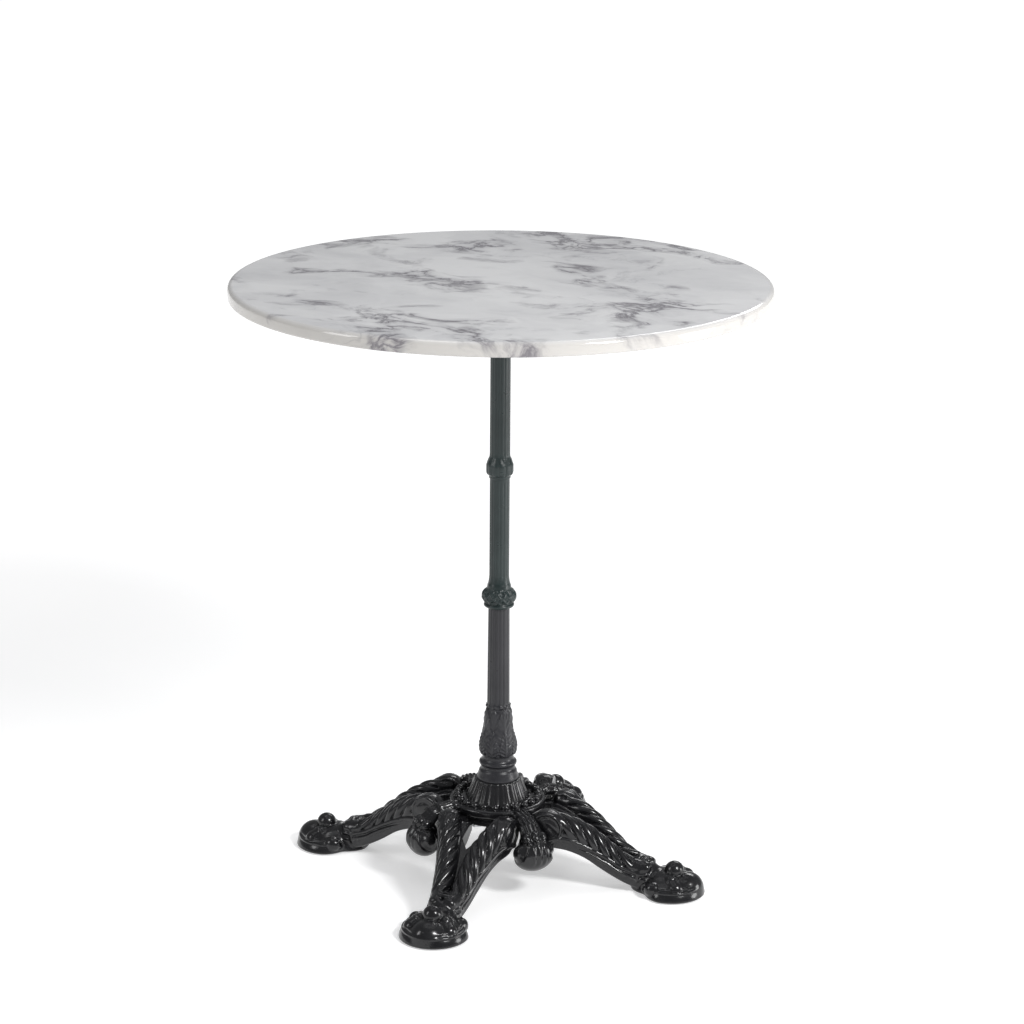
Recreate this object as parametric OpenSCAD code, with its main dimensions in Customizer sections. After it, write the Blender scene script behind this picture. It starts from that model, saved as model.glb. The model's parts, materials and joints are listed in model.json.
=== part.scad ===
// Bistro table: a round marble top on a cast-iron column and four lion-paw legs.
// Millimetres, +Z up, origin on the floor under the middle of the table.
// Each leg is a V of two rope-twist struts that meet in a paw. A tie rod clamps the
// top bracket, both columns and the hub together, and a screw glide stands in each paw.

/* [Top] */
// Diameter of the marble top
top_d = 650; // [560:10:700]
// Height of the finished table
table_h = 750; // [720:5:780]
// Thickness of the marble slab
slab_t = 17; // [15:0.5:22]
// Radius of the slab's rounded edge
slab_edge_r = 6; // [2:0.5:7]

/* [Bracket] */
// Distance from the middle to each screw that holds the slab
bracket_reach = 140; // [110:5:180]
// Thickness of the bracket's arms
bracket_t = 8; // [6:0.5:10]
// Outer radius of the bracket's boss
boss_r = 24; // [20:0.5:28]
// Thickness of the rubber pad on each arm
pad_t = 1.5; // [1:0.5:3]

/* [Column] */
// Radius of the upper shaft
upper_r = 12.2; // [11:0.1:14]
// Radius of the lower shaft at its top
lower_r = 13.2; // [12:0.1:15]
// Radius of the tie rod
rod_r = 6; // [5:0.5:7]
// Height of the seam between the two columns
seam_z = 344; // [320:1:360]
// Height of the upper knop
knop_z = 524; // [480:1:560]

/* [Base] */
// Radius of the hub's disc
hub_r = 60; // [56:1:64]
// Height of the hub's underside
hub_z = 86; // [84:1:88]
// Distance from the middle to the centre of each paw
foot_r = 226; // [210:1:240]
// Half the length of a paw
paw_l = 43; // [38:1:48]
// Half the width of a paw
paw_w = 42; // [38:1:46]
// Number of beads around the hub
beads = 24; // [16:1:32]

/* [Glides] */
// Radius of the glide's threaded stud
stud_r = 4; // [3.5:0.5:5]
// Radius of the pad that stands on the floor
glide_r = 13; // [10:0.5:14]
// Gap between the floor and the iron sole with the glides screwed in
sole_gap = 1.5; // [1:0.5:3]

/* [Hidden] */
$fn = 64;

slab_z = table_h - slab_t;
bracket_z = slab_z - pad_t;          // top face of the bracket's arms
boss_z = bracket_z - 41;             // underside of the bracket's boss
nut_seat_z = bracket_z - 16;         // floor of the nut's recess
insert_r = 5;
insert_l = 11.5;
screw_r = 2.9;
seat_z = 122;                        // where the lower column stands on the hub
spigot_r = 15;
joint_r = 9.5;                       // spigot between the two columns
joint_l = 16;
cone_r = 40;                         // foot of the hub's petal collar
disc_z = 97;                         // top face of the hub's disc
flange_t = 10;
flange_z = hub_z - flange_t;
flange_r = 56;
bolt_r = 4;
bolt_x = 38;
bolt_y = 14;
bush_r = 7;
bush_z = 10;
bush_l = 16;
fit = 0.05;                          // radial clearance of a close fit
LEG_TURN = [0, 90, 180, 270];        // right, back, left, front

// ---------- helpers ----------

// Points of an arc about (cx, cy), from angle a0 to a1
function arc(cx, cy, r, a0, a1, n = 8) =
    [for (i = [0:n]) let (a = a0 + (a1 - a0) * i / n) [cx + r * cos(a), cy + r * sin(a)]];

// Catmull-Rom curve through a list of equal-length rows, per steps to a span
function curve(rows, per) =
    let (last = len(rows) - 1)
    [for (i = [0:last - 1], j = [0:per - 1])
        let (t = j / per, a = rows[max(i - 1, 0)], b = rows[i],
             c = rows[i + 1], d = rows[min(i + 2, last)])
        (b * 2 + (c - a) * t + (a * 2 - b * 5 + c * 4 - d) * t * t
            + (b * 3 - a - c * 3 + d) * t * t * t) / 2,
     rows[last]];

// Closed solid through rings that all have the same number of points, each ring running
// clockwise as seen from the far end
module skin(rings) {
    n = len(rings[0]);
    m = len(rings);
    points = [for (ring = rings, point = ring) point];
    sides = [for (i = [0:m - 2], j = [0:n - 1], half = [0, 1])
        let (k = (j + 1) % n)
        half == 0 ? [i * n + j, i * n + k, (i + 1) * n + k]
                  : [i * n + j, (i + 1) * n + k, (i + 1) * n + j]];
    first = [[for (j = [n - 1:-1:0]) j]];
    last = [[for (j = [0:n - 1]) (m - 1) * n + j]];
    polyhedron(points, concat(sides, first, last));
}

// Tube with a plain round hole
module ring(r, bore, z, h) {
    translate([0, 0, z]) difference() {
        cylinder(r = r, h = h);
        translate([0, 0, -1]) cylinder(r = bore, h = h + 2);
    }
}

// Hexagon across its corners
module hex(r, z, h) {
    translate([0, 0, z]) cylinder(r = r, h = h, $fn = 6);
}

module at_screws() {
    for (a = LEG_TURN) rotate(a) translate([bracket_reach, 0, 0]) children();
}

module at_leg_bolts() {
    for (a = LEG_TURN, side = [-1, 1]) rotate(a) translate([bolt_x, side * bolt_y, 0]) children();
}

// ---------- top ----------

module marble_top() {
    r = top_d / 2;
    e = slab_edge_r;
    under = 3;
    color("gainsboro") difference() {
        translate([0, 0, slab_z]) rotate_extrude($fn = 128) polygon(concat(
            [[0, 0]],
            arc(r - under, under, under, -90, 0),
            arc(r - e, slab_t - e, e, 0, 90),
            [[0, slab_t]]));
        at_screws() translate([0, 0, slab_z - 1]) cylinder(r = insert_r + fit, h = insert_l + 1.5);
    }
}

module top_inserts() {
    color("goldenrod") at_screws() ring(insert_r, screw_r + fit, slab_z, insert_l);
}

module bracket_pads() {
    color("dimgray") at_screws() ring(13, 4, bracket_z, pad_t);
}

// One tapered arm with a round end and a rib under it
module bracket_arm() {
    tip_r = 15;
    rib_t = 7;
    translate([0, 0, bracket_z - bracket_t]) linear_extrude(bracket_t) union() {
        polygon([[0, -20], [bracket_reach, -tip_r], [bracket_reach, tip_r], [0, 20]]);
        translate([bracket_reach, 0]) circle(r = tip_r);
    }
    translate([0, rib_t / 2, 0]) rotate([90, 0, 0]) linear_extrude(rib_t) polygon([
        [boss_r - 4, boss_z + 4], [bracket_reach - 22, bracket_z - bracket_t],
        [bracket_reach - 22, bracket_z - 1], [boss_r - 4, bracket_z - 1]]);
}

module top_bracket() {
    color("#2b3231") difference() {
        union() {
            for (a = LEG_TURN) rotate(a) bracket_arm();
            translate([0, 0, boss_z]) rotate_extrude() polygon(concat(
                [[0, 0]], arc(boss_r - 3, 3, 3, -90, 0), [[boss_r, 41], [0, 41]]));
        }
        translate([0, 0, boss_z - 1]) cylinder(r = rod_r + 0.4, h = 60);
        translate([0, 0, boss_z - 1]) cylinder(r = upper_r + fit, h = 16);
        translate([0, 0, nut_seat_z]) cylinder(r = 14, h = 20);
        at_screws() translate([0, 0, boss_z]) cylinder(r = 3.5, h = 60);
    }
}

module top_screw_washers() {
    color("silver") at_screws() ring(7, 3.2, bracket_z - bracket_t - 1.6, 1.6);
}

module top_screws() {
    head_z = bracket_z - bracket_t - 1.6;
    color("silver") at_screws() union() {
        hex(5.8, head_z - 4, 4);
        translate([0, 0, head_z - 1]) cylinder(r = screw_r, h = slab_z + 9 - head_z + 1);
    }
}

// ---------- tie rod ----------

module tie_rod() {
    color("darkgray") translate([0, 0, hub_z - 18])
        cylinder(r = rod_r, h = bracket_z - 1 - (hub_z - 18));
}

module clamp_nut(z) {
    difference() {
        hex(10.9, z, 10);
        translate([0, 0, z - 1]) cylinder(r = rod_r + fit, h = 12);
    }
}

module top_nut() {
    color("silver") clamp_nut(nut_seat_z + 2.5);
}

module top_nut_washer() {
    color("silver") ring(12, rod_r + 0.3, nut_seat_z, 2.5);
}

module base_nut() {
    color("silver") clamp_nut(hub_z - 13);
}

module base_washer() {
    color("silver") ring(16, rod_r + 0.3, hub_z - 3, 3);
}

// ---------- column ----------

// Slim shaft with a carved knop at its foot that sits over the lower column
module column_upper() {
    top_z = boss_z + 15;
    ball_z = seam_z + 14.5;
    ball_r = 21.3;
    color("#2e3a3a") rotate_extrude() polygon(concat(
        [[rod_r + 1.5, seam_z + joint_l + 0.5], [joint_r + fit, seam_z + joint_l + 0.5],
         [joint_r + fit, seam_z], [17, seam_z], [18.4, seam_z + 1.2]],
        arc(16.6, seam_z + 3.2, 2.4, -40, 70, 5),
        arc(ball_r - 10, ball_z, 10, -45, 62, 8),
        arc(upper_r + 6, ball_z + 19, 6, 235, 180, 5),
        [[upper_r, knop_z - 14], [upper_r + 1, knop_z - 12.5], [upper_r + 1, knop_z - 11],
         [upper_r + 3.6, knop_z - 10.5], [upper_r + 4.4, knop_z - 7], [upper_r + 4.5, knop_z],
         [upper_r + 3.9, knop_z + 3]],
        arc(upper_r + 5.5, knop_z + 11, 5.5, 238, 180, 5),
        [[upper_r, top_z], [rod_r + 1.5, top_z]]));
}

// Reeded shaft that swells into a leafed vase above a ring and a foot
module column_lower() {
    neck_z = seat_z + 30;
    color("#3d3f43") rotate_extrude() polygon(concat(
        [[rod_r + 1.5, seat_z - 13.5], [spigot_r, seat_z - 13.5], [spigot_r, seat_z],
         [26, seat_z], [25.6, seat_z + 3], [23.4, seat_z + 10.5], [21.6, seat_z + 13]],
        arc(19, seat_z + 20.5, 4.2, -75, 70, 8),
        [[20.4, neck_z], [21, neck_z + 4], [22.2, neck_z + 14], [20.3, neck_z + 25],
         [18, neck_z + 37], [17.1, neck_z + 50], [15.6, neck_z + 65], [14.1, neck_z + 68]],
        [[lower_r, seam_z], [joint_r, seam_z], [joint_r, seam_z + joint_l],
         [rod_r + 1.5, seam_z + joint_l]]));
}

// ---------- hub ----------

// Acanthus leaf that droops from the disc's edge and swells into a shell.
// Rows of the spine: distance out, height, half width, half thickness, lean of the section
LEAF = [[52, 91, 8, 4.5, 0], [66, 93, 9.5, 5, 0], [80, 90.5, 11, 5.5, 25], [91, 83, 14, 8, 58],
        [98, 74, 20, 13, 80], [102, 64, 26, 17, 90], [103, 53, 28, 18.5, 90],
        [103, 42, 21, 15, 90], [103, 35, 9, 7, 90]];

module leaf_drop() {
    sides = 16;
    skin([for (row = curve(LEAF, 2))
        [for (i = [0:sides - 1])
            let (a = 360 * i / sides, across = row[2] * cos(a), up = row[3] * sin(a), lean = row[4])
            [row[0] + up * sin(lean), -across, row[1] + up * cos(lean)]]]);
}

module base_hub() {
    color("#232427") difference() {
        union() {
            rotate_extrude() polygon(concat(
                [[0, hub_z], [flange_r, hub_z], [flange_r + 1, hub_z + 3]],
                arc(hub_r - 3, disc_z - 4, 3, -40, 90, 6),
                [[cone_r + 1, disc_z], [cone_r, disc_z + 2], [32, disc_z + 16], [29, seat_z - 1],
                 [28, seat_z], [0, seat_z]]));
            for (i = [0:beads - 1]) rotate(360 * i / beads)
                translate([hub_r - 11, 0, disc_z + 0.6]) sphere(r = 3.6, $fn = 24);
            for (a = LEG_TURN) rotate(a + 45) leaf_drop();
        }
        translate([0, 0, hub_z - 1]) cylinder(r = rod_r + 0.4, h = 60);
        translate([0, 0, seat_z - 14]) cylinder(r = spigot_r + fit, h = 20);
        at_leg_bolts() translate([0, 0, hub_z - 1]) cylinder(r = bolt_r + fit, h = 10);
    }
}

// ---------- legs ----------

// Rows of a strut: distance out, distance to the side, crest, underside, width
STRUT = [[66, 36, 96, 80, 14], [72, 35, 101, 70, 22], [84, 33, 98, 57, 27], [104, 26, 91, 51, 27],
         [124, 20, 80, 42, 27], [144, 15.5, 65, 28, 25], [164, 12.5, 49, 16, 23],
         [182, 10, 42, 6, 20], [200, 8, 39, 3, 18]];

// One rope-twist strut with a web under it
module strut(side) {
    rope = [for (a = [0:22.5:180]) [cos(a), sin(a)]];
    skin([for (row = curve(STRUT, 2))
        let (half = row[4] / 2, mid = row[2] - half, low = row[3])
        concat(
            [for (p = rope) [row[0], row[1] * side - half * p[0], mid + half * p[1]]],
            [[row[0], row[1] * side + half * 0.95, mid * 0.5 + low * 0.5],
             [row[0], row[1] * side + half * 0.7, low],
             [row[0], row[1] * side - half * 0.7, low],
             [row[0], row[1] * side - half * 0.95, mid * 0.5 + low * 0.5]])]);
}

// Wall that closes the V between the two struts outside its window
module crotch() {
    skin([for (row = curve(STRUT, 2)) if (row[0] > 112)
        let (half = row[1] - 1, top = row[2] - row[4] / 2 - 2, low = row[3] + 3)
        [[row[0], -half, low], [row[0], -half, top], [row[0], half, top], [row[0], half, low]]]);
}

// Height of a ball's top over the point (x, y), or 0 beside it
function ball(x, y, cx, cy, z, r) =
    let (d = norm([x - cx, y - cy])) d < r ? z + sqrt(r * r - d * d) : 0;

// Toes of a paw: the angle of each from the way the foot points, and its centre's height
TOES = [[-66, 15], [-23, 20], [23, 20], [66, 15]];

// Top of the paw at x along the leg and y across it, both from the paw's centre
function paw_top(x, y) =
    let (out = min(1, norm([x / paw_l, y / paw_w])))
    max(concat([13 + 21 * sqrt(1 - out * out), ball(x, y, 5, 0, 28, 11.5)],
        [for (toe = TOES)
            ball(x, y, (paw_l - 16) * cos(toe[0]), (paw_w - 14) * sin(toe[0]), toe[1], 12)]));

module paw() {
    steps = 12;
    sides = 40;
    dome = [for (k = [0:steps - 1]) let (out = 1 - pow(k / steps, 1.3))
        [for (i = [0:sides - 1])
            let (a = -360 * i / sides, x = paw_l * out * cos(a), y = paw_w * out * sin(a))
            [foot_r + x, y, paw_top(x, y)]]];
    sole = [for (level = [[0.96, sole_gap], [1, sole_gap + 3]])
        [for (i = [0:sides - 1]) let (a = -360 * i / sides)
            [foot_r + paw_l * level[0] * cos(a), paw_w * level[0] * sin(a), level[1]]]];
    skin(concat(sole, dome));
}

// Plate under the hub that carries both struts
module leg_flange() {
    half = 43;
    translate([0, 0, flange_z]) linear_extrude(flange_t - 0.1) difference() {
        union() {
            intersection() {
                circle(r = flange_r);
                polygon([[0, 0], [90 * cos(half), -90 * sin(half)], [90, 0],
                         [90 * cos(half), 90 * sin(half)]]);
            }
            for (side = [-1, 1])
                translate([40, side * 24]) rotate(side * 22) translate([0, -8]) square([38, 16]);
        }
        circle(r = 19);
    }
}

module leg() {
    difference() {
        union() {
            strut(1);
            strut(-1);
            crotch();
            paw();
            leg_flange();
        }
        for (side = [-1, 1]) translate([bolt_x, side * bolt_y, flange_z - 1])
            cylinder(r = bolt_r + 0.5, h = flange_t + 2);
        translate([foot_r, 0, 0]) cylinder(r = glide_r + 1.5, h = bush_z);
        translate([foot_r, 0, 1]) cylinder(r = bush_r + fit, h = bush_z + bush_l - 1);
        translate([foot_r, 0, 1]) cylinder(r = stud_r + 0.6, h = 36);
    }
}

module leg_right() {
    color("#17181a") rotate(LEG_TURN[0]) leg();
}

module leg_back() {
    color("#17181a") rotate(LEG_TURN[1]) leg();
}

module leg_left() {
    color("#17181a") rotate(LEG_TURN[2]) leg();
}

module leg_front() {
    color("#17181a") rotate(LEG_TURN[3]) leg();
}

module leg_bolt_washers() {
    color("silver") at_leg_bolts() ring(8, bolt_r + 0.2, flange_z - 1.6, 1.6);
}

module leg_bolts() {
    head_z = flange_z - 1.6;
    color("silver") at_leg_bolts() union() {
        hex(7.5, head_z - 5.3, 5.3);
        translate([0, 0, head_z - 1]) cylinder(r = bolt_r, h = hub_z + 8 - head_z + 1);
    }
}

// ---------- glides ----------

module glide_bushes() {
    color("goldenrod") for (a = LEG_TURN) rotate(a) translate([foot_r, 0, 0])
        ring(bush_r, stud_r + fit, bush_z, bush_l);
}

// Threaded stud: a collar that turns in the pad, a hexagon for the spanner and the thread
module glide_stud() {
    translate([foot_r, 0, 0]) union() {
        translate([0, 0, 2.05]) cylinder(r = stud_r + 2.1, h = 2.35);
        hex(7.4, 6.3, 3.6);
        translate([0, 0, 3]) cylinder(r = stud_r, h = 31);
    }
}

module glide_pad() {
    translate([foot_r, 0, 0]) rotate_extrude() polygon([
        [0, 0], [glide_r - 1, 0], [glide_r, 1], [glide_r, 4], [stud_r + 4, 6],
        [stud_r + 0.2, 6], [stud_r + 0.2, 4.5], [stud_r + 2.2, 4.5], [stud_r + 2.2, 2], [0, 2]]);
}

module glide_stud_right() {
    color("silver") rotate(LEG_TURN[0]) glide_stud();
}

module glide_stud_back() {
    color("silver") rotate(LEG_TURN[1]) glide_stud();
}

module glide_stud_left() {
    color("silver") rotate(LEG_TURN[2]) glide_stud();
}

module glide_stud_front() {
    color("silver") rotate(LEG_TURN[3]) glide_stud();
}

module glide_pad_right() {
    color("#303030") rotate(LEG_TURN[0]) glide_pad();
}

module glide_pad_back() {
    color("#303030") rotate(LEG_TURN[1]) glide_pad();
}

module glide_pad_left() {
    color("#303030") rotate(LEG_TURN[2]) glide_pad();
}

module glide_pad_front() {
    color("#303030") rotate(LEG_TURN[3]) glide_pad();
}

marble_top();
top_inserts();
top_bracket();
bracket_pads();
top_screws();
top_screw_washers();
tie_rod();
top_nut();
top_nut_washer();
column_upper();
column_lower();
base_hub();
base_nut();
base_washer();
leg_right();
leg_back();
leg_left();
leg_front();
leg_bolts();
leg_bolt_washers();
glide_bushes();
glide_stud_right();
glide_stud_back();
glide_stud_left();
glide_stud_front();
glide_pad_right();
glide_pad_back();
glide_pad_left();
glide_pad_front();
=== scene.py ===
"""Bistro table: a round marble slab on a cast-iron column and four lion-paw legs.

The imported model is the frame. The castings get detailed meshes here, cut from smooth
distance fields or turned on a polar grid, and each piece gets a procedural material.
Lengths inside the shape functions are millimetres, and meshes are made in metres.
"""
import json
import math

import bpy
import numpy as np
from mathutils import Matrix, Vector


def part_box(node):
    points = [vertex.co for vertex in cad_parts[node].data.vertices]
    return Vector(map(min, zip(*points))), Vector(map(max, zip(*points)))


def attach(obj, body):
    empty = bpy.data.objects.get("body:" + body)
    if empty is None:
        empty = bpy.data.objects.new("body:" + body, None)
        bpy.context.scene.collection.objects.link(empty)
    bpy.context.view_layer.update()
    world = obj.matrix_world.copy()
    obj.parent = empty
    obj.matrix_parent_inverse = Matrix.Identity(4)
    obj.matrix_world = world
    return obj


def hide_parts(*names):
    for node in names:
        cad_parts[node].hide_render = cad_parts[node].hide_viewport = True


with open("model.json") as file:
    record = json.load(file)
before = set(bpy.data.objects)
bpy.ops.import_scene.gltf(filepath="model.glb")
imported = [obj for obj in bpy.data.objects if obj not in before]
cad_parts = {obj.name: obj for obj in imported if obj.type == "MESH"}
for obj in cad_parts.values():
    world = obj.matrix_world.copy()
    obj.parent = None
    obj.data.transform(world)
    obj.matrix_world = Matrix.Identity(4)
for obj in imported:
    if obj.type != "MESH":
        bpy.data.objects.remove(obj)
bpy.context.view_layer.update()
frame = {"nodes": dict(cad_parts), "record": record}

MM = 0.001
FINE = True


# ---------- places taken from the frame, in millimetres ----------

def span(node, axis):
    """Lowest and highest coordinate of a CAD node along an axis, in millimetres."""
    low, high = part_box(node)
    return low[axis] / MM, high[axis] / MM


TOP_R = span("marble_top", 0)[1]
SLAB_Z, TABLE_Z = span("marble_top", 2)
FOOT_R = sum(span("glide_pad_right", 0)) / 2
TOE_X = span("leg_right", 0)[1]
SOLE_Z = span("leg_right", 2)[0]
HUB_Z, SEAT_Z = 86.0, span("base_hub", 2)[1]
SEAM_Z = span("column_upper", 2)[0]
UPPER_TOP = span("column_upper", 2)[1]
UPPER_R = 12.2
LEG_TURNS = {"leg_right": 0, "leg_back": 90, "leg_left": 180, "leg_front": 270}


# ---------- distance fields ----------

def smooth_min(a, b, blend):
    """Union of two fields with a fillet about as wide as blend."""
    h = np.clip(0.5 + 0.5 * (b - a) / blend, 0, 1)
    return b + (a - b) * h - blend * h * (1 - h)


def smooth_max(a, b, blend):
    """Intersection of two fields with a rounded edge."""
    return -smooth_min(-a, -b, blend)


def step_between(value, low, high):
    """0 below low, 1 above high, and a smooth rise between."""
    t = np.clip((value - low) / (high - low), 0, 1)
    return t * t * (3 - 2 * t)


def ball(p, centre, radius):
    return np.linalg.norm(p - np.array(centre, float), axis=1) - radius


def ellipsoid(p, centre, radii):
    q = (p - np.array(centre, float)) / np.array(radii, float)
    k0 = np.linalg.norm(q, axis=1)
    k1 = np.linalg.norm(q / np.array(radii, float), axis=1)
    return k0 * (k0 - 1) / np.maximum(k1, 1e-6)


def capsule(p, a, b, ra, rb):
    """Round bar from a to b that tapers from radius ra to rb."""
    a, b = np.array(a, float), np.array(b, float)
    t = np.clip((p - a) @ (b - a) / np.dot(b - a, b - a), 0, 1)
    return np.linalg.norm(p - a - t[:, None] * (b - a), axis=1) - (ra + (rb - ra) * t)


def oval(a, b, ra, rb):
    """Distance from (a, b) to an oval with half axes ra and rb."""
    near = np.hypot(a / ra, b / rb)
    slope = np.hypot(a / ra ** 2, b / rb ** 2)
    return near * (near - 1) / np.maximum(slope, 1e-6)


def rounded(a, b, half_a, half_b, edge):
    """Distance from (a, b) to a rectangle with rounded corners."""
    qa, qb = np.abs(a) - (half_a - edge), np.abs(b) - (half_b - edge)
    return np.hypot(np.maximum(qa, 0), np.maximum(qb, 0)) + np.minimum(np.maximum(qa, qb), 0) - edge


def torus(p, centre, axis, radius, thick):
    axis = np.array(axis, float) / np.linalg.norm(axis)
    q = p - np.array(centre, float)
    along = q @ axis
    out = np.linalg.norm(q - along[:, None] * axis, axis=1)
    return np.hypot(out - radius, along) - thick


def surface(field, low, high, step):
    """Points and quads of the surface where field is 0, inside the box low..high.

    The field is sampled coarsely, then in full only in the blocks near the surface. Each cell
    that the surface crosses gets one point, which slides along the field's slope onto it.
    """
    low, high = np.array(low, float), np.array(high, float)
    block = 8
    blocks = np.ceil((high - low) / (block * step)).astype(int)
    count = blocks * block + 1
    centres = np.stack(np.meshgrid(*[
        low[i] + (np.arange(blocks[i]) + 0.5) * block * step for i in range(3)],
        indexing="ij"), -1).reshape(-1, 3)
    rough = field(centres)
    near = np.abs(rough) < block * step * 2.2
    grid = np.empty(count, np.float32)
    corner = np.stack(np.unravel_index(np.arange(len(centres)), blocks), -1) * block
    for (i, j, k), value, close in zip(corner, rough, near):
        if not close:
            grid[i:i + block + 1, j:j + block + 1, k:k + block + 1] = value
    local = np.stack(np.meshgrid(*[np.arange(block + 1)] * 3, indexing="ij"), -1).reshape(-1, 3)
    chosen = corner[near]
    for part in np.array_split(chosen, max(1, len(chosen) // 400)):
        index = (part[:, None, :] + local[None]).reshape(-1, 3)
        grid[index[:, 0], index[:, 1], index[:, 2]] = field(low + index * step)

    inside = grid < 0
    cells = count - 1
    filled = np.zeros(cells, np.int8)
    for i in (0, 1):
        for j in (0, 1):
            for k in (0, 1):
                filled += inside[i:i + cells[0], j:j + cells[1], k:k + cells[2]]
    active = (filled > 0) & (filled < 8)
    number = np.full(cells, -1)
    number[active] = np.arange(active.sum())
    cell = np.argwhere(active)
    cell_low = low + cell * step
    points = cell_low + step / 2
    probe = step * 0.05
    for _ in range(6):
        value = field(points)
        slope = np.stack([field(points + probe * axis) - value for axis in np.eye(3)], -1) / probe
        size = np.maximum((slope ** 2).sum(1), 0.05)
        points = points - (value / size)[:, None] * slope
        points = np.clip(points, cell_low, cell_low + step)

    quads = []
    for a in range(3):
        b, c = (a + 1) % 3, (a + 2) % 3
        here = [slice(None)] * 3
        there = [slice(None)] * 3
        here[a], there[a] = slice(0, -1), slice(1, None)
        first, second = inside[tuple(here)], inside[tuple(there)]
        edge = np.argwhere(first != second)
        edge = edge[(edge[:, b] > 0) & (edge[:, c] > 0) & (edge[:, b] < cells[b]) & (edge[:, c] < cells[c])]
        back_b, back_c = np.zeros(3, int), np.zeros(3, int)
        back_b[b], back_c[c] = 1, 1
        around = [edge, edge - back_b, edge - back_b - back_c, edge - back_c]
        quad = np.stack([number[tuple(x.T)] for x in around], -1)
        flip = second[tuple(edge.T)]
        quad[flip] = quad[flip][:, ::-1]
        quads.append(quad)
    return points, np.concatenate(quads)


def mesh_object(name, points, faces, body="root"):
    """Object of points in millimetres that rides on a CAD body, smooth shaded."""
    mesh = bpy.data.meshes.new(name)
    mesh.from_pydata((np.asarray(points) * MM).tolist(), [], np.asarray(faces).tolist())
    mesh.validate()
    mesh.shade_smooth()
    made = bpy.data.objects.new(name, mesh)
    bpy.context.scene.collection.objects.link(made)
    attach(made, body)
    return made


def turned(points, degrees):
    """Points turned about the table's axis."""
    a = math.radians(degrees)
    turn = np.array([[math.cos(a), -math.sin(a), 0], [math.sin(a), math.cos(a), 0], [0, 0, 1]])
    return points @ turn.T


# ---------- curves ----------

def curve(rows, per=12):
    """Catmull-Rom curve through rows of numbers, per steps to a span."""
    rows = np.array(rows, float)
    last = len(rows) - 1
    made = []
    for i in range(last):
        a, b = rows[max(i - 1, 0)], rows[i]
        c, d = rows[i + 1], rows[min(i + 2, last)]
        for t in np.arange(per) / per:
            made.append((2 * b + (c - a) * t + (2 * a - 5 * b + 4 * c - d) * t ** 2
                         + (3 * b - a - 3 * c + d) * t ** 3) / 2)
    return np.array(made + [rows[last]])


# ---------- legs ----------

# Rows of a strut: distance out, distance to the side, crest, underside, half width
STRUT = curve([[58, 38, 95, 70, 11], [70, 35.5, 100, 64, 12.5], [84, 33, 98, 56, 13.5],
               [104, 26, 91, 51, 13.5], [124, 20, 80, 42, 13.5], [144, 15.5, 65, 28, 12.5],
               [164, 12.5, 50, 16, 11.5], [182, 10, 42, 8, 10.5], [204, 8, 38, 4, 9]])
# Rows of the bead on a strut's outer wall: distance out and height
BEAD = curve([[74, 63], [88, 68], [105, 66], [120, 60.5], [138, 51.5], [155, 42], [170, 33], [192, 25]])
STRANDS = 5
LEAD = 95
ROPE_START = 80
ROPE_END = 184
WINDOW_END = 114


def strut_at(x):
    """Interpolated rows of the strut at x, with the slopes of its centreline."""
    side, crest, under, half = [np.interp(x, STRUT[:, 0], STRUT[:, i]) for i in range(1, 5)]
    deep = np.minimum(half, (crest - under) * 0.42)
    middle = STRUT[:, 2] - np.minimum(STRUT[:, 4], (STRUT[:, 2] - STRUT[:, 3]) * 0.42)
    lift = np.gradient(middle, STRUT[:, 0])
    swing = np.gradient(STRUT[:, 1], STRUT[:, 0])
    length = np.concatenate([[0], np.cumsum(np.linalg.norm(np.diff(
        np.stack([STRUT[:, 0], STRUT[:, 1], middle], -1), axis=0), axis=1))])
    return (side, crest, under, half, deep, np.interp(x, STRUT[:, 0], lift),
            np.interp(x, STRUT[:, 0], swing), np.interp(x, STRUT[:, 0], length))


def strut(p):
    """One rope-twist strut with its web and beads; y is the distance to the side."""
    x, y, z = p.T
    side, crest, under, half, deep, lift, swing, length = strut_at(x)
    flat = 1 / np.sqrt(1 + swing ** 2)
    level = 1 / np.sqrt(1 + lift ** 2)
    across = (y - side) * flat
    above = (z - (crest - deep)) * level
    angle = np.arctan2(above / deep, across / half)
    along = length + (z - (crest - deep)) * lift * level ** 2 + (y - side) * swing * flat ** 2
    turn = (STRANDS * (angle / (2 * np.pi) + along / LEAD)) % 1
    strand = np.sqrt(np.maximum(1 - (2 * turn - 1) ** 2 * 0.98, 0)) - 0.85
    shown = (step_between(x, ROPE_START - 6, ROPE_START + 6) * (1 - step_between(x, ROPE_END - 3, ROPE_END))
             * step_between(above / deep, -0.8, -0.3) * step_between(across / half, -1.0, -0.75))
    rope = oval(across, above, half, deep) - 5.0 * strand * shown

    web_half = half * 0.92
    low, high = under, crest - deep - 3
    web = rounded(across, (z - (low + high) / 2) * level, web_half, (high - low) / 2 * level, 3.5)
    made = smooth_min(rope, web, 2)

    wall = across - web_half - 0.3
    bead_z = np.interp(x, BEAD[:, 0], BEAD[:, 1])
    upper = np.hypot(wall, (z - bead_z) * level) - 2.3
    lower = np.hypot(wall, (z - bead_z + 7.2) * level) - 2.0 * step_between(x, 112, 145)
    made = smooth_min(made, np.minimum(upper, lower), 0.7)
    ends = np.maximum(66 - x, x - 204)
    return smooth_max(made, ends, 6)


def crotch(p):
    """Wall between the struts, open near the hub as a window; y is the distance to the side."""
    x, y, z = p.T
    side, crest, under, half, deep = strut_at(x)[:5]
    high, low = crest - deep - 2, under + 4
    wall = smooth_max(np.abs(z - (high + low) / 2) - (high - low) / 2, y - side, 2)
    opening = np.minimum((WINDOW_END - x) * 0.7, 10.5) - y
    ends = np.maximum(62 - x, x - 196)
    return smooth_max(smooth_max(wall, opening, 4), ends, 4)


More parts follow.
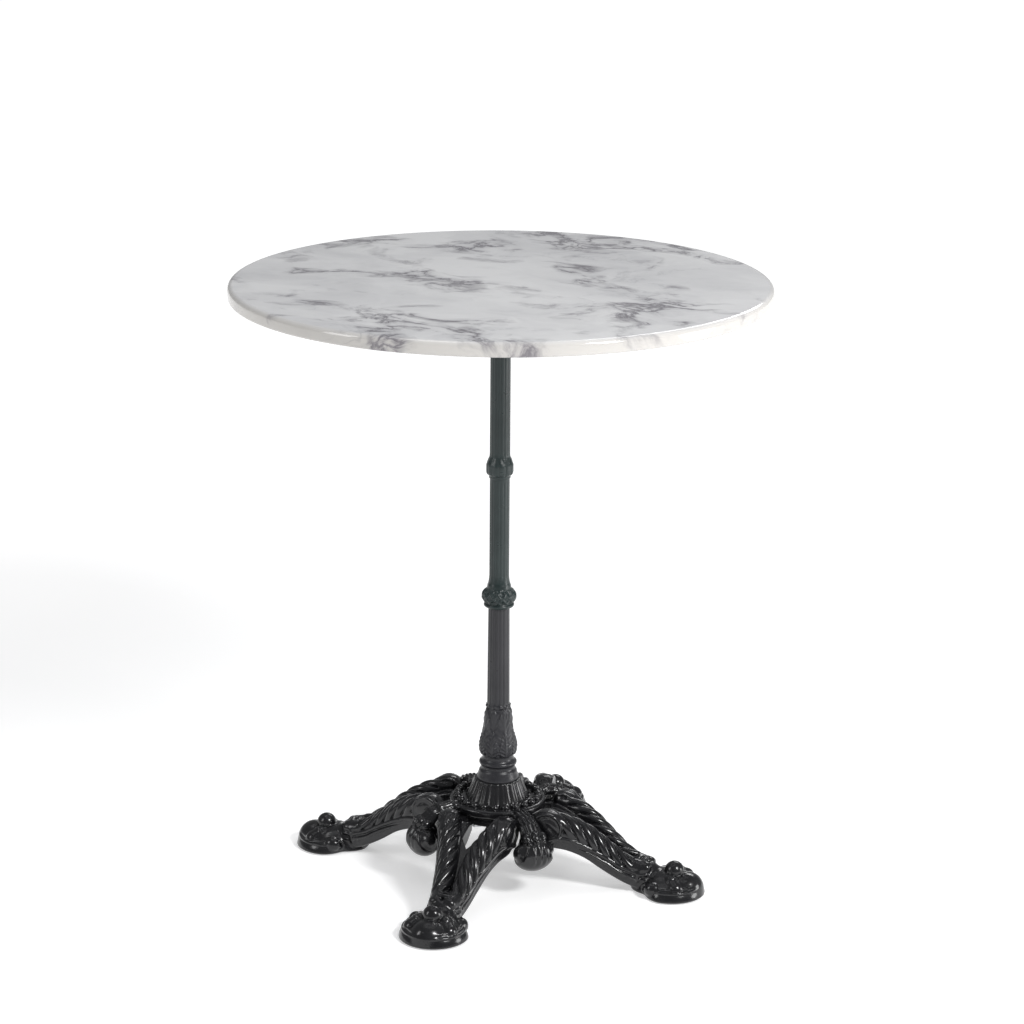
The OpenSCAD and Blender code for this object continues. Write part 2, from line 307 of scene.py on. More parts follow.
def volute(p):
    """Smooth scroll at the hub end of a strut, with a raised rim on its face."""
    axis = np.array([0.16, 0.987, 0])
    q = p - np.array([78, 36, 80.5])
    across = q @ axis
    out = np.linalg.norm(q - across[:, None] * axis, axis=1)
    half, radius = 10.8, 20.5
    disc = rounded(across, out, half, radius, 7.5)
    rim = np.hypot(out - 17.6, np.abs(across) - half + 1.1) - 1.5
    hollow = 1.3 * step_between(15.5 - out, 0, 4)
    eye = ellipsoid(np.stack([out, across, 0 * out], -1), (0, half - 1.5, 0), (8, 3.2, 8))
    made = np.maximum(disc, disc + hollow * (across > 0))
    return smooth_min(smooth_min(made, rim, 1.0), eye, 2.5)


# Half width, height and heel length of a paw's dome
PAW_W = 42.5
PAW_H = 27
HEEL_X = 31
# Side toe: knuckle, tip and the radius at each; mirrored across the paw
TOE = ((5, 15.5, 20), (13, 23, 13.5), 9.6, 11.2)


def paw(p):
    """Lion paw with a ball on its back, on a domed sole; y is the distance to the side."""
    q = p - np.array([FOOT_R, 0, 0])
    x, y, z = q.T
    long = TOE_X - FOOT_R
    heeled = np.stack([np.minimum(x, x * long / HEEL_X), y, z], -1)
    dome = ellipsoid(heeled, (0, 0, 0), (long, PAW_W, PAW_H))
    tail = ellipsoid(q, (-14, 0, 0), (36, 25, 21))
    made = smooth_min(smooth_min(dome, tail, 4), ellipsoid(q, (-5, 0, 8.5), (30, 33, 21)), 4)

    rim = (np.hypot(heeled[:, 0] / long, y / PAW_W) - 1) * long
    for height in (12.5, 16.5):
        inset = long * (1 - math.sqrt(1 - (height / PAW_H) ** 2))
        line = np.hypot(rim + inset - 0.2, z - height) - 1.3
        made = smooth_min(made, line + 3 * step_between(-x, 4, 20), 0.8)

    instep = ellipsoid(q, (-24, 0, 15), (17, 19, 18))
    hump = ellipsoid(q, (-25, 0, 26.5), (8.5, 12, 9.5))
    made = smooth_min(made, smooth_min(instep, hump, 2), 3)
    knuckle, tip, wide, end = TOE
    toe = capsule(q, knuckle, tip, wide, end)
    way = np.array(tip, float) - knuckle
    joint = torus(q, knuckle + way * 0.2, way, wide + 0.2, 1.2)
    made = smooth_min(made, smooth_min(toe, joint, 1.2), 1.2)
    middle = ellipsoid(q, (21.5, 0, 9), (20.5, 22.5, 19.5))
    brow = np.hypot(x - 19 + 0.35 * y * np.sin(y * 0.33), z - 27.6 + y * y * 0.022) - 1.5
    made = smooth_min(made, middle, 2.5)
    made = smooth_min(made, np.maximum(brow, y - 13), 1.2)
    made = smooth_min(made, ball(q, (5, 0, 29), 12.4), 0.8)
    heel = ellipsoid(q, (-14, 29, 12), (11, 8.5, 9.5))
    curl = torus(q, (-23, 27, 12), (-0.4, 0.9, 0.15), 5.2, 2.2)
    made = smooth_min(smooth_min(made, heel, 1.5), curl, 1.2)
    return smooth_max(made, SOLE_Z - z, 1.5)


def collar(p):
    """Cuff round the ankle where both ropes end; it leans back down its sides."""
    x, y, z = p.T
    ring = oval(y, z - 22, 18, 16.4)
    upper = np.hypot(ring, x - 190 - (z - 25) * 0.26) - 3.2
    lower = np.hypot(ring - 0.4, x - 182 - (z - 25) * 0.26) - 2.2
    return smooth_min(upper, lower, 3)


def flange(p):
    """Plate under the hub with its two bolt holes, and the lug out to the strut."""
    x, y, z = p.T
    out = np.hypot(x, y)
    half = math.radians(43)
    sector = y * math.cos(half) - x * math.sin(half)
    layer = np.abs(z - (HUB_Z - 5)) - 4.95
    plate = np.maximum.reduce([layer, out - 56, 19 - out, sector])
    lug = smooth_max(capsule(p * [1, 1, 0], (40, 24, 0), (68, 36, 0), 8, 8), layer, 1.5)
    plate = smooth_min(plate, lug, 3)
    return np.maximum(plate, 4.5 - np.hypot(x - 38, y - 14))


def glide_socket(p):
    """Hollow for the screw glide in the sole."""
    x, y, z = p.T
    out = np.hypot(x - FOOT_R, y)
    pocket = np.maximum(out - 14.5, z - 10)
    bore = np.maximum(out - 7.05, z - 26)
    return np.minimum(pocket, bore)


def leg_field(p):
    q = p * [1, 0, 1] + np.abs(p) * [0, 1, 0]
    made = smooth_min(strut(q), crotch(q), 3)
    made = smooth_min(made, volute(q), 2)
    made = smooth_min(made, flange(q), 3)
    foot = smooth_min(paw(q), collar(q), 1.5)
    made = smooth_min(made, foot, 2)
    return np.maximum(made, -glide_socket(q))


# ---------- hub ----------

DISC_Z = 97
PETALS = 16
BEADS = 24
# Spine of the leaf that droops from the disc: distance out, height, half thickness
LEAF = [(52, 91, 4.8), (66, 93, 5.4), (79, 91.5, 5.8), (89, 86, 6.8), (96, 79, 8)]


def hub_outline(out, z):
    """Distance to the turned body of the hub."""
    low, high = HUB_Z + 1, DISC_Z
    disc = rounded(out, z - (low + high) / 2, 60, (high - low) / 2, 3.2)
    skirt = np.maximum(out - 56, np.abs(z - (HUB_Z + 4)) - 4)
    lip = np.hypot(out - 56.5, z - high + 1.2) - 1.4
    return smooth_min(smooth_min(disc, skirt, 2), lip, 1)


def petal_collar(out, angle, z):
    """Cone of overlapping petals round the column's foot."""
    low, high = 96, SEAT_Z
    t = np.clip((z - low) / (high - low), 0, 1)
    radius = 40.5 - 12 * t ** 0.8
    turn = (angle * PETALS / (2 * np.pi)) % 1
    bulge = np.sqrt(np.maximum(1 - (2 * turn - 1) ** 2, 0))
    rib = np.exp(-((turn - 0.5) / 0.07) ** 2)
    tip = 2.6 * (1 - bulge)
    wall = (out - radius - 1.6 * bulge + 0.8 + 0.7 * rib) * 0.85
    foot = low + tip - z
    return smooth_max(np.maximum(wall, z - high), foot, 1.2)


def leaf_drop(out, side, z):
    """Acanthus leaf that droops from the disc's edge over a shell; side is across the leaf."""
    narrow = np.stack([out, side * 0.53, z], -1)
    blade = None
    for (xa, za, ra), (xb, zb, rb) in zip(LEAF, LEAF[1:]):
        part = capsule(narrow, (xa, 0, za), (xb, 0, zb), ra, rb)
        blade = part if blade is None else smooth_min(blade, part, 2)
    blade = blade - 1.1 * np.cos(side * 2 * np.pi / 5.4) * step_between(11.5 - np.abs(side), 0, 2.5)

    q = np.stack([out, np.abs(side), z], -1)
    body = ellipsoid(q, (102, 0, 56.5), (20, 26.5, 21.5))
    neck = ellipsoid(q, (96.5, 0, 72), (12, 15, 12))
    shell = smooth_min(body, neck, 5)
    reach = np.hypot(out - 102, (z - 62) * 0.95)
    flank = step_between(np.abs(side), 6, 15)
    groove = step_between(reach, 5.5, 9) * (1 - step_between(reach, 12, 15.5))
    shell = shell + 2.0 * groove * flank
    shell = shell - 0.8 * np.cos(side * 2 * np.pi / 8) * (1 - flank) * step_between(z, 46, 54)

    middle_tip = ellipsoid(q, (105, 0, 78), (8, 5.6, 7))
    side_tip = ellipsoid(q, (102, 10.5, 77), (8, 5.6, 7))
    tips = smooth_min(middle_tip, side_tip, 0.8)
    middle_curl = torus(q, (110.5, 0, 74.5), (0, 1, 0), 3.2, 2.4)
    side_curl = torus(q, (107.5, 11, 73), (0.3, 1, 0), 3.2, 2.3)
    curls = np.minimum(middle_curl, side_curl)
    tips = smooth_min(tips, curls, 0.8)
    return smooth_min(smooth_min(blade, shell, 2), tips, 1.0)


def hub_field(p):
    x, y, z = p.T
    out = np.hypot(x, y)
    angle = np.arctan2(y, x)
    made = smooth_min(hub_outline(out, z), petal_collar(out, angle, z), 1.2)
    pitch = 2 * np.pi / BEADS
    off = (angle + pitch / 2) % pitch - pitch / 2
    bead = ball(np.stack([out * np.cos(off), out * np.sin(off), z], -1), (50.4, 0, 99), 4.9)
    made = smooth_min(made, bead, 0.6)
    quarter = (angle % (np.pi / 2)) - np.pi / 4
    leaf = leaf_drop(out * np.cos(quarter), out * np.sin(quarter), z)
    made = smooth_min(made, leaf, 2.5)
    socket = np.maximum(out - 15.05, SEAT_Z - 14 - z)
    return np.maximum(np.maximum(made, -socket), 6.4 - out)


# ---------- column ----------

def lathe(name, outline, relief, sides, inner, body="root"):
    """Turned piece. outline is rows of height and radius, relief(angle, height, radius) is
    added to the radius, and inner is the radius of the bore."""
    rows = np.array(outline, float)
    angle = np.arange(sides) * 2 * np.pi / sides
    grid_a, grid_z = np.meshgrid(angle, rows[:, 0])
    grid_r = rows[:, 1][:, None] + relief(grid_a, grid_z, rows[:, 1][:, None] + 0 * grid_a)
    outer = np.stack([grid_r * np.cos(grid_a), grid_r * np.sin(grid_a), grid_z], -1).reshape(-1, 3)
    ends = [np.stack([inner * np.cos(angle), inner * np.sin(angle), 0 * angle + rows[i, 0]], -1)
            for i in (0, -1)]
    points = np.concatenate([outer, *ends])
    count = len(rows)
    base = np.arange(sides)
    following = (base + 1) % sides
    faces = [np.stack([i * sides + base, i * sides + following,
                       (i + 1) * sides + following, (i + 1) * sides + base], -1)
             for i in range(count - 1)]
    low_ring, high_ring = count * sides, (count + 1) * sides
    faces.append(np.stack([low_ring + base, low_ring + following, following, base], -1))
    top = (count - 1) * sides
    faces.append(np.stack([top + base, top + following, high_ring + following, high_ring + base], -1))
    faces.append(np.stack([high_ring + base, high_ring + following,
                           low_ring + following, low_ring + base], -1))
    return mesh_object(name, points, np.concatenate(faces), body)


def dense(rows, pitch):
    """Rows of height and radius with extra rows so that none lie more than pitch apart."""
    made = [rows[0]]
    for (z0, r0), (z1, r1) in zip(rows, rows[1:]):
        steps = max(1, math.ceil(math.hypot(z1 - z0, r1 - r0) / pitch))
        made += [(z0 + (z1 - z0) * i / steps, r0 + (r1 - r0) * i / steps) for i in range(1, steps + 1)]
    return made


def arc(z, r, radius, a0, a1, n=10):
    """Rows of height and radius along an arc; angles are from the outward direction."""
    return [(z + radius * math.sin(math.radians(a0 + (a1 - a0) * i / n)),
             r + radius * math.cos(math.radians(a0 + (a1 - a0) * i / n))) for i in range(n + 1)]


REEDS = 16


def reeds(angle, depth):
    """Rounded reeds with narrow grooves between them."""
    turn = (angle * REEDS / (2 * np.pi)) % 1
    return depth * (np.sqrt(np.maximum(1 - (2 * turn - 1) ** 2 * 0.97, 0)) - 1)


def window(z, low, high, soft=2.0):
    """1 between low and high, fading to 0 over soft beyond them."""
    return step_between(z, low - soft, low) * (1 - step_between(z, high, high + soft))


def leaf(angle, count, start, rise, tip, wide):
    """Height of a ring of count pointed leaves, 0 outside them. rise runs from 0 at their foot,
    tip is where they end, and wide is their widest half angle."""
    pitch = 2 * np.pi / count
    off = np.abs((angle - start + pitch / 2) % pitch - pitch / 2)
    t = np.clip(rise / tip, 0, 1)
    half = wide * np.interp(t, [0, 0.25, 0.55, 0.8, 0.93, 1], [0.72, 1, 0.86, 0.52, 0.24, 0])
    half = half * (1 + 0.13 * np.abs(np.sin(t * np.pi * 5)))
    inside = step_between(half - off, 0, 0.05) * (rise < tip)
    across = np.clip(off / np.maximum(half, 0.02), 0, 1)
    vein = np.cos(2 * np.pi * (t * 7 - across * 1.3)) * step_between(across, 0.1, 0.3)
    midrib = np.exp(-(off / (0.13 * wide)) ** 2)
    return inside * (1 + 0.35 * across ** 2 + 0.22 * vein + 0.45 * midrib)


def column_lower():
    seat = SEAT_Z
    rows = [(seat, 26.0), (seat + 1.5, 25.9), (seat + 3, 25.6), (seat + 5.6, 24.7), (seat + 8, 24.0),
            (seat + 10, 23.5), (seat + 11.4, 22.8), (seat + 12.6, 21.8), (seat + 14.4, 21.2),
            (seat + 16.4, 21.2)]
    rows += arc(seat + 20.6, 20.2, 3.2, -70, 70, 12)
    rows += [(seat + 24.6, 20.4), (seat + 26.6, 19.5), (seat + 29, 19.2), (seat + 31.5, 19.6)]
    neck, tips = seat + 31.5, seat + 96
    rows += [tuple(r) for r in curve([(neck, 19.6), (neck + 3, 20.4), (neck + 7, 21), (neck + 12, 21.2),
                                      (neck + 17, 20.5), (neck + 22, 19.4), (neck + 29, 17.8),
                                      (neck + 37, 16.4), (neck + 46, 15.9), (neck + 55, 15.3),
                                      (neck + 61, 14.7), (tips, 14.3)], 8)[1:]]
    rows += [(tips + 1.6, 13.9), (tips + 3, 14.0), (SEAM_Z, 13.15)]

    def relief(angle, z, r):
        made = reeds(angle, 1.1) * window(z, tips + 4, SEAM_Z + 5)
        rise = (z - neck) / (tips - neck)
        tall = 1.5 * leaf(angle, 4, np.pi / 4, rise, 0.97, 0.76)
        back = 0.75 * leaf(angle, 4, 0, rise, 0.95, 0.6)
        low = 2.0 * leaf(angle, 8, 0, rise, 0.52, 0.37)
        leaves = np.maximum(np.maximum(tall, back), low) * window(z, neck + 1.5, tips, 1.5)
        turn = (angle + np.pi / 12) % (np.pi / 6) - np.pi / 12
        curl = 1.7 * np.exp(-((z - tips + 1) / 1.9) ** 2) * np.exp(-(turn / 0.14) ** 2)
        hollow = 0.9 * np.exp(-((z - tips + 5.5) / 2) ** 2)
        return made + leaves + curl - hollow

    return lathe("column_lower_cast", dense(rows, 0.75 if FINE else 1.6), relief,
                 216 if FINE else 120, 7.5)


def column_upper():
    seam = SEAM_Z
    rows = [(seam, 13.4), (seam + 0.4, 15.6), (seam + 1.2, 17.2)]
    rows += arc(seam + 3.5, 16.4, 2.3, -50, 66, 8)
    rows += [(seam + 6.3, 17.2)]
    rows += arc(seam + 14.5, 11.2, 10, -54, 60, 24)
    rows += [(seam + 24.2, 15.5), (seam + 25.4, 14.9), (seam + 26.8, 14.7), (seam + 29, 14.3),
             (seam + 31.5, 13.4), (seam + 34, 12.9), (seam + 37, 12.5), (seam + 41, UPPER_R)]
    low = seam + 164
    rows += [(low, UPPER_R), (low + 0.6, UPPER_R + 1), (low + 3.2, UPPER_R + 1), (low + 3.8, UPPER_R + 1.4),
             (low + 5, UPPER_R + 3), (low + 6.4, UPPER_R + 3.9), (low + 8.5, UPPER_R + 4.3),
             (low + 16.5, UPPER_R + 4.3), (low + 18.5, UPPER_R + 3.9), (low + 20.3, UPPER_R + 3.2),
             (low + 22, UPPER_R + 2.3), (low + 24.5, UPPER_R + 1.3), (low + 27, UPPER_R + 0.6),
             (low + 31, UPPER_R + 0.3), (UPPER_TOP, UPPER_R + 0.1)]

    def relief(angle, z, r):
        plain = 1 - window(z, seam - 5, seam + 34, 8) - window(z, low - 1, low + 25, 6)
        made = reeds(angle, 0.8) * np.clip(plain, 0, 1)
        middle = seam + 15
        turn = angle * 6
        slope = (z - middle) / 10.5 * np.pi
        lattice = np.maximum(np.abs(np.cos(turn + slope)), np.abs(np.cos(turn - slope)))
        berry = np.exp(-(np.cos(turn) / 0.4) ** 2) * np.exp(-((z - middle) / 2.4) ** 2)
        made = made + window(z, middle - 6.5, middle + 7.5, 2.5) * (1.9 * (lattice ** 4 - 0.75) + 1.0 * berry)
        lobe = np.sqrt(np.abs(np.cos(angle * 6)))
        shoulder = low + 17 + 5 * lobe
        made = made + 0.9 * (lobe - 0.7) * window(z, low + 5.5, low + 17, 2) * (z < shoulder)
        return made + 0.5 * np.abs(np.cos(angle * 8)) ** 3 * window(z, low + 22, low + 25, 2)

    return lathe("column_upper_cast", dense(rows, 0.92 if FINE else 1.8), relief,
                 216 if FINE else 96, 7.5)


# ---------- marble slab ----------

def marble_slab():
    under, edge = 3.0, 6.0
    thick = TABLE_Z - SLAB_Z
    rows = [(SLAB_Z, r) for r in np.linspace(0.5, TOP_R - under - 2, 24)]
    rows += arc(SLAB_Z + under, TOP_R - under, under, -90, 0, 8)
    rows += arc(TABLE_Z - edge, TOP_R - edge, edge, 0, 90, 14)
    rows += [(TABLE_Z, r) for r in np.linspace(TOP_R - edge - 1.5, 0.5, 24)]
    rows = np.array(rows, float)
    sides = 256
    angle = np.arange(sides) * 2 * np.pi / sides
    points = np.stack([np.outer(rows[:, 1], np.cos(angle)), np.outer(rows[:, 1], np.sin(angle)),
                       np.repeat(rows[:, :1], sides, 1)], -1).reshape(-1, 3)
    base = np.arange(sides)
    following = (base + 1) % sides
    faces = [list(q) for i in range(len(rows) - 1) for q in np.stack(
        [i * sides + base, i * sides + following, (i + 1) * sides + following, (i + 1) * sides + base], -1)]
    faces.append(list(base[::-1]))
    faces.append(list((len(rows) - 1) * sides + base))
    mesh = bpy.data.meshes.new("marble_slab")
    mesh.from_pydata((points * MM).tolist(), [], [[int(v) for v in f] for f in faces])
    mesh.shade_smooth()
    made = bpy.data.objects.new("marble_slab", mesh)
    bpy.context.scene.collection.objects.link(made)
    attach(made, "root")
    return made


# ---------- materials ----------

class Nodes:
    """Small helper that builds a material's node tree."""

    def __init__(self, name):
        self.material = bpy.data.materials.new(name)
        self.material.use_nodes = True
        self.tree = self.material.node_tree
        self.shader = self.tree.nodes["Principled BSDF"]
        self.coords = self.tree.nodes.new("ShaderNodeTexCoord").outputs["Object"]

    def node(self, kind, settings=None, **inputs):
        made = self.tree.nodes.new(kind)
        for key, value in (settings or {}).items():
            setattr(made, key, value)
        for key, value in inputs.items():
            name = key.replace("_", " ")
            socket = made.inputs[int(key[1:])] if key[0] == "i" and key[1:].isdigit() else made.inputs[name]
            if isinstance(value, bpy.types.NodeSocket):
                self.tree.links.new(value, socket)
            else:
                socket.default_value = value
        return made

    def noise(self, scale, detail=4.0, rough=0.55, warp=0.0, where=None):
        return self.node("ShaderNodeTexNoise", Vector=where or self.coords, Scale=scale, Detail=detail,
                         Roughness=rough, Distortion=warp).outputs["Fac"]

    def math(self, operation, a, b=0.0):
        return self.node("ShaderNodeMath", {"operation": operation}, i0=a, i1=b).outputs[0]

    def ramp(self, value, stops):
        made = self.node("ShaderNodeValToRGB", i0=value)
        ramp = made.color_ramp
        while len(ramp.elements) < len(stops):
            ramp.elements.new(0.5)
        for element, (place, colour) in zip(ramp.elements, stops):
            element.position = place
            element.color = (*colour, 1) if isinstance(colour, tuple) else (colour,) * 3 + (1,)
        return made.outputs["Color"]

    def mix(self, factor, a, b):
        made = self.tree.nodes.new("ShaderNodeMix")
        made.data_type = "RGBA"
        for socket, value in zip((made.inputs[0], made.inputs[6], made.inputs[7]), (factor, a, b)):
            if isinstance(value, bpy.types.NodeSocket):
                self.tree.links.new(value, socket)
            else:
                socket.default_value = value if isinstance(value, float) else (*value, 1)
        return made.outputs[2]

    def bump(self, height, strength, distance, normal=None):
        made = self.node("ShaderNodeBump", Height=height, Strength=strength, Distance=distance)
        if normal is not None:
            self.tree.links.new(normal, made.inputs["Normal"])
        return made.outputs["Normal"]

    def set(self, **inputs):
        for key, value in inputs.items():
            socket = self.shader.inputs[key.replace("_", " ")]
            if isinstance(value, bpy.types.NodeSocket):
                self.tree.links.new(value, socket)
            else:
                socket.default_value = value


def enamel():
    """Gloss black enamel over sand-cast iron."""
    m = Nodes("black_enamel")
    grain = m.noise(900, 3)
    orange = m.noise(160, 2)
    dust = m.noise(45, 5)
    colour = m.ramp(dust, [(0.35, (0.0052, 0.0052, 0.0062)), (0.7, (0.0105, 0.0105, 0.0118))])
    rough = m.ramp(m.noise(70, 4), [(0.3, 0.16), (0.75, 0.27)])
    m.set(Base_Color=colour, Roughness=rough)
    m.set(Normal=m.bump(orange, 0.2, 0.0006, m.bump(grain, 0.12, 0.0002)))
    m.shader.inputs["Specular IOR Level"].default_value = 0.42
    m.shader.inputs["Coat Weight"].default_value = 0.15
    m.shader.inputs["Coat Roughness"].default_value = 0.06
    return m.material


def satin(name, dark, light):
    """Satin paint on the column's castings."""
    m = Nodes(name)
    grain = m.noise(1200, 3)
    orange = m.noise(220, 2)
    patch = m.noise(30, 5)
    m.set(Base_Color=m.ramp(patch, [(0.3, dark), (0.75, light)]))
    m.set(Roughness=m.ramp(m.noise(90, 4), [(0.3, 0.27), (0.75, 0.38)]))
    m.set(Normal=m.bump(orange, 0.16, 0.0004, m.bump(grain, 0.15, 0.00015)))
    m.shader.inputs["Specular IOR Level"].default_value = 0.4
    return m.material


def marble():
    """Polished white marble with soft grey clouds and broken dark veins, and painted shade on its rounded
    edge.
    """
    m = Nodes("white_marble")
    stretch = m.node("ShaderNodeMapping", Vector=m.coords)
    stretch.inputs["Rotation"].default_value = (0, 0, math.radians(35))
    stretch.inputs["Scale"].default_value = (1.0, 1.35, 1.2)
    where = stretch.outputs["Vector"]
    swirl = m.node("ShaderNodeTexNoise", Vector=where, Scale=5.0, Detail=4.0, Roughness=0.55)
    bent = m.node("ShaderNodeVectorMath", {"operation": "MULTIPLY_ADD"},
                  i0=swirl.outputs["Color"], i1=(0.16, 0.16, 0.16), i2=where).outputs["Vector"]

    clouds = m.ramp(m.noise(5.0, 7, 0.6, 0.3, bent), [(0.40, 0.0), (0.68, 1.0)])
    smoky = m.ramp(m.noise(11.0, 5, 0.6, 0.3, bent), [(0.50, 0.0), (0.75, 1.0)])
    patch = m.ramp(m.noise(8.5, 3, 0.5, 0.2, bent), [(0.50, 0.0), (0.62, 1.0)])
    ridge = m.math("ABSOLUTE", m.math("SUBTRACT", m.noise(10.0, 8, 0.62, 0.5, bent), 0.5))
    core = m.math("MULTIPLY", m.ramp(ridge, [(0.0, 1.0), (0.03, 0.4), (0.06, 0.0)]), patch)
    halo = m.math("MULTIPLY", m.ramp(ridge, [(0.0, 1.0), (0.14, 0.0)]), patch)
    thin = m.math("ABSOLUTE", m.math("SUBTRACT", m.noise(6.0, 9, 0.6, 0.4, bent), 0.47))
    hair = m.math("MULTIPLY", m.ramp(thin, [(0.0, 1.0), (0.016, 0.0)]), smoky)
    speck = m.noise(120, 4)

    # The outer 7 mm, the rounded edge, is painted darker and warmer than the top: painted shade that tones
    # down the light the edge catches from the side lamps and the bright floor.
    flat = m.node("ShaderNodeVectorMath", {"operation": "MULTIPLY"},
                  i0=m.coords, i1=(1, 1, 0)).outputs["Vector"]
    reach = m.node("ShaderNodeVectorMath", {"operation": "LENGTH"}, i0=flat).outputs["Value"]
    rim = m.node("ShaderNodeMapRange", Value=reach, i1=(TOP_R - 7) * MM, i2=TOP_R * MM).outputs[0]

    colour = m.mix(m.math("MULTIPLY", clouds, 0.5), (0.78, 0.78, 0.785), (0.50, 0.50, 0.52))
    colour = m.mix(m.math("MULTIPLY", smoky, 0.25), colour, (0.36, 0.36, 0.39))
    colour = m.mix(m.math("MULTIPLY", rim, 0.85), colour, (0.50, 0.48, 0.45))
    colour = m.mix(m.math("MULTIPLY", halo, 0.40), colour, (0.26, 0.25, 0.28))
    colour = m.mix(m.math("MULTIPLY", core, 0.85), colour, (0.11, 0.10, 0.12))
    colour = m.mix(m.math("MULTIPLY", hair, 0.45), colour, (0.22, 0.22, 0.24))
    colour = m.mix(m.math("MULTIPLY", speck, 0.06), colour, (0.45, 0.45, 0.45))
    m.set(Base_Color=colour, Roughness=m.ramp(m.noise(18, 5), [(0.3, 0.05), (0.75, 0.11)]))
    m.set(Normal=m.bump(m.noise(60, 3), 0.02, 0.0004))
    m.shader.inputs["Subsurface Weight"].default_value = 0.05
    m.shader.inputs["Subsurface Radius"].default_value = (0.004, 0.004, 0.0045)
    return m.material


def plated(name, colour, rough):
    """Plated or turned metal with fine scratches."""
    m = Nodes(name)
    m.set(Base_Color=m.ramp(m.noise(60, 5), [(0.3, tuple(c * 0.86 for c in colour)), (0.8, colour)]))
    m.set(Roughness=m.ramp(m.noise(150, 4), [(0.3, rough), (0.8, rough + 0.14)]))
    m.shader.inputs["Metallic"].default_value = 1.0
    m.set(Normal=m.bump(m.noise(2500, 2), 0.12, 0.0001))
    return m.material


def soft_black(name, shade, rough):
    """Matt rubber or plastic."""
    m = Nodes(name)
    low, high = (shade * 0.8,) * 3, (shade * 1.3,) * 3
    m.set(Base_Color=m.ramp(m.noise(80, 5), [(0.3, low), (0.8, high)]))
    m.set(Roughness=m.ramp(m.noise(200, 3), [(0.3, rough), (0.8, rough + 0.12)]))
    m.set(Normal=m.bump(m.noise(1500, 2), 0.2, 0.0001))
    return m.material


def paint(thing, material):
    thing.data.materials.clear()
    thing.data.materials.append(material)


# ---------- build ----------

black = enamel()
upper_paint = satin("upper_column_paint", (0.010, 0.018, 0.018), (0.018, 0.028, 0.028))
lower_paint = satin("lower_column_paint", (0.015, 0.015, 0.018), (0.025, 0.025, 0.029))
stone = marble()
zinc = plated("zinc_plate", (0.62, 0.63, 0.65), 0.28)
brass = plated("turned_brass", (0.75, 0.55, 0.26), 0.22)
rubber = soft_black("black_rubber", 0.03, 0.6)
plastic = soft_black("black_plastic", 0.035, 0.45)

STEP = 0.9 if FINE else 1.8
leg_points, leg_faces = surface(leg_field, (14, -51, 0.5), (TOE_X + 2, 51, 106), STEP)
for node, turn in LEG_TURNS.items():
    leg = mesh_object(node + "_cast", turned(leg_points, turn), leg_faces)
    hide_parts(node)
    paint(leg, black)

hub_points, hub_faces = surface(hub_field, (-102, -102, 33), (102, 102, SEAT_Z + 2), STEP * 1.1)
hub = mesh_object("base_hub_cast", hub_points, hub_faces)
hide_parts("base_hub")
paint(hub, black)

lower = column_lower()
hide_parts("column_lower")
paint(lower, lower_paint)
upper = column_upper()
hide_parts("column_upper")
paint(upper, upper_paint)
slab = marble_slab()
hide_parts("marble_top")
paint(slab, stone)

FINISHES = {"column_paint": upper_paint, "zinc": zinc, "brass": brass, "rubber": rubber,
            "pad_plastic": plastic}
for part in frame["record"]["subparts"]:
    finish = FINISHES.get(part["material_slot"])
    thing = frame["nodes"][part["node"]]
    if finish and not thing.hide_render:
        paint(thing, finish)


# ---------- floor, light and camera ----------

def add_floor():
    """Pale floor that keeps its brightness as it runs away from the lights."""
    size = 30
    mesh = bpy.data.meshes.new("floor")
    corners = [(-size, -size, 0), (size, -size, 0), (size, size, 0), (-size, size, 0)]
    mesh.from_pydata(corners, [], [(0, 1, 2, 3)])
    floor = bpy.data.objects.new("floor", mesh)
    bpy.context.scene.collection.objects.link(floor)
    m = Nodes("pale_floor")
    m.set(Base_Color=m.ramp(m.noise(2, 3), [(0.3, 0.80), (0.7, 0.82)]), Roughness=0.8)
    away = m.node("ShaderNodeVectorMath", {"operation": "LENGTH"}, i0=m.coords).outputs["Value"]
    glow = m.node("ShaderNodeMapRange", {"interpolation_type": "SMOOTHSTEP"}, i0=away, i1=0.6, i2=3.5,
                  i3=0.42, i4=0.80).outputs[0]
    m.set(Emission_Color=(1.0, 1.0, 1.0, 1.0), Emission_Strength=glow)
    floor.data.materials.append(m.material)


def add_light(name, place, aim, size, power):
    data = bpy.data.lights.new(name, "AREA")
    data.shape = "ELLIPSE"
    data.size, data.size_y = size
    data.energy = power
    lamp = bpy.data.objects.new(name, data)
    lamp.location = place
    lamp.rotation_mode = "QUATERNION"
    lamp.rotation_quaternion = (Vector(aim) - Vector(place)).to_track_quat("-Z", "Y")
    bpy.context.scene.collection.objects.link(lamp)


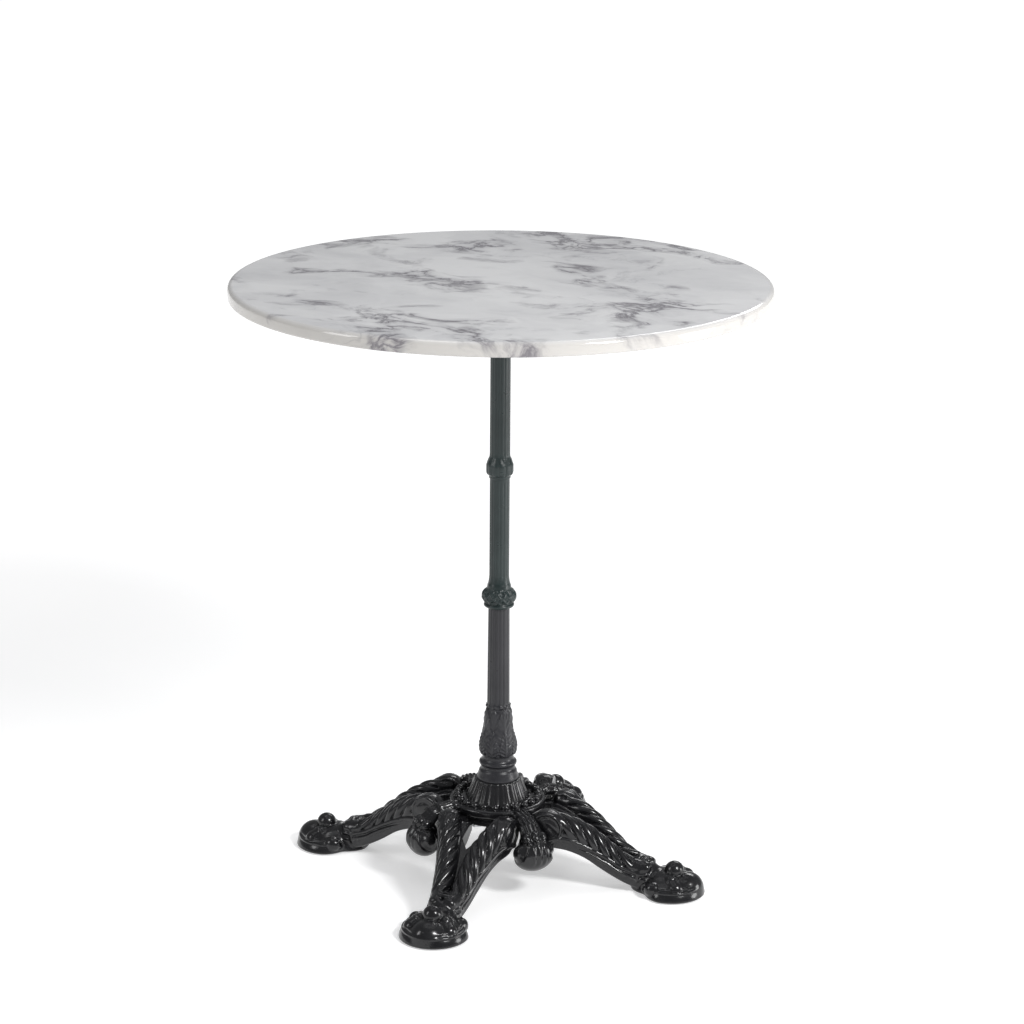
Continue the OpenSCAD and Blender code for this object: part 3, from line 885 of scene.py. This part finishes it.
# The camera: distance and height in metres, pitch, turn and roll in radians, and the
# direction that it stands in, in degrees round the table from leg_right
CAM_DISTANCE, CAM_HEIGHT = 3.6229, 1.5115
CAM_PITCH, CAM_TURN, CAM_ROLL = 0.28127, 0.004162, 0.007736
CAM_AROUND = -70.7
CAM_LENS = 109.12
AROUND = Matrix.Rotation(math.radians(CAM_AROUND + 90), 3, "Z")


def add_camera():
    data = bpy.data.cameras.new("camera")
    data.lens = CAM_LENS
    data.sensor_width = 36
    camera = bpy.data.objects.new("camera", data)
    bpy.context.scene.collection.objects.link(camera)
    cp, sp = math.cos(CAM_PITCH), math.sin(CAM_PITCH)
    ct, st = math.cos(CAM_TURN), math.sin(CAM_TURN)
    cr, sr = math.cos(CAM_ROLL), math.sin(CAM_ROLL)
    forward = Vector((cp * st, cp * ct, -sp))
    right = Vector((ct, -st, 0))
    up = Vector((sp * st, sp * ct, cp))
    screen_right = right * cr + up * sr
    screen_up = up * cr - right * sr
    axes = AROUND @ Matrix((screen_right, screen_up, -forward)).transposed()
    place = AROUND @ Vector((0, -CAM_DISTANCE, CAM_HEIGHT))
    camera.matrix_world = Matrix.Translation(place) @ axes.to_4x4()
    bpy.context.scene.camera = camera


add_camera()
add_floor()
add_light("key", AROUND @ Vector((1.5, -1.6, 2.0)), (0, 0, 0.2), (0.6, 0.6), 56)
add_light("window", AROUND @ Vector((2.3, -0.3, 0.5)), (0, 0, 0.1), (0.8, 0.8), 14)
add_light("fill", AROUND @ Vector((-2.3, -1.0, 1.5)), (0, 0, 0.3), (0.7, 1.4), 14)
add_light("top", AROUND @ Vector((-0.5, 0.3, 2.9)), (0, 0, 0.4), (1.1, 0.8), 8)
add_light("back", AROUND @ Vector((0.9, 2.4, 2.0)), (0, 0, 0.4), (1.6, 0.7), 18)

world = bpy.data.worlds.new("studio")
world.use_nodes = True
world.node_tree.nodes["Background"].inputs["Color"].default_value = (0.97, 0.98, 1.0, 1)
world.node_tree.nodes["Background"].inputs["Strength"].default_value = 0.28
bpy.context.scene.world = world
bpy.context.scene.view_settings.view_transform = "Standard"
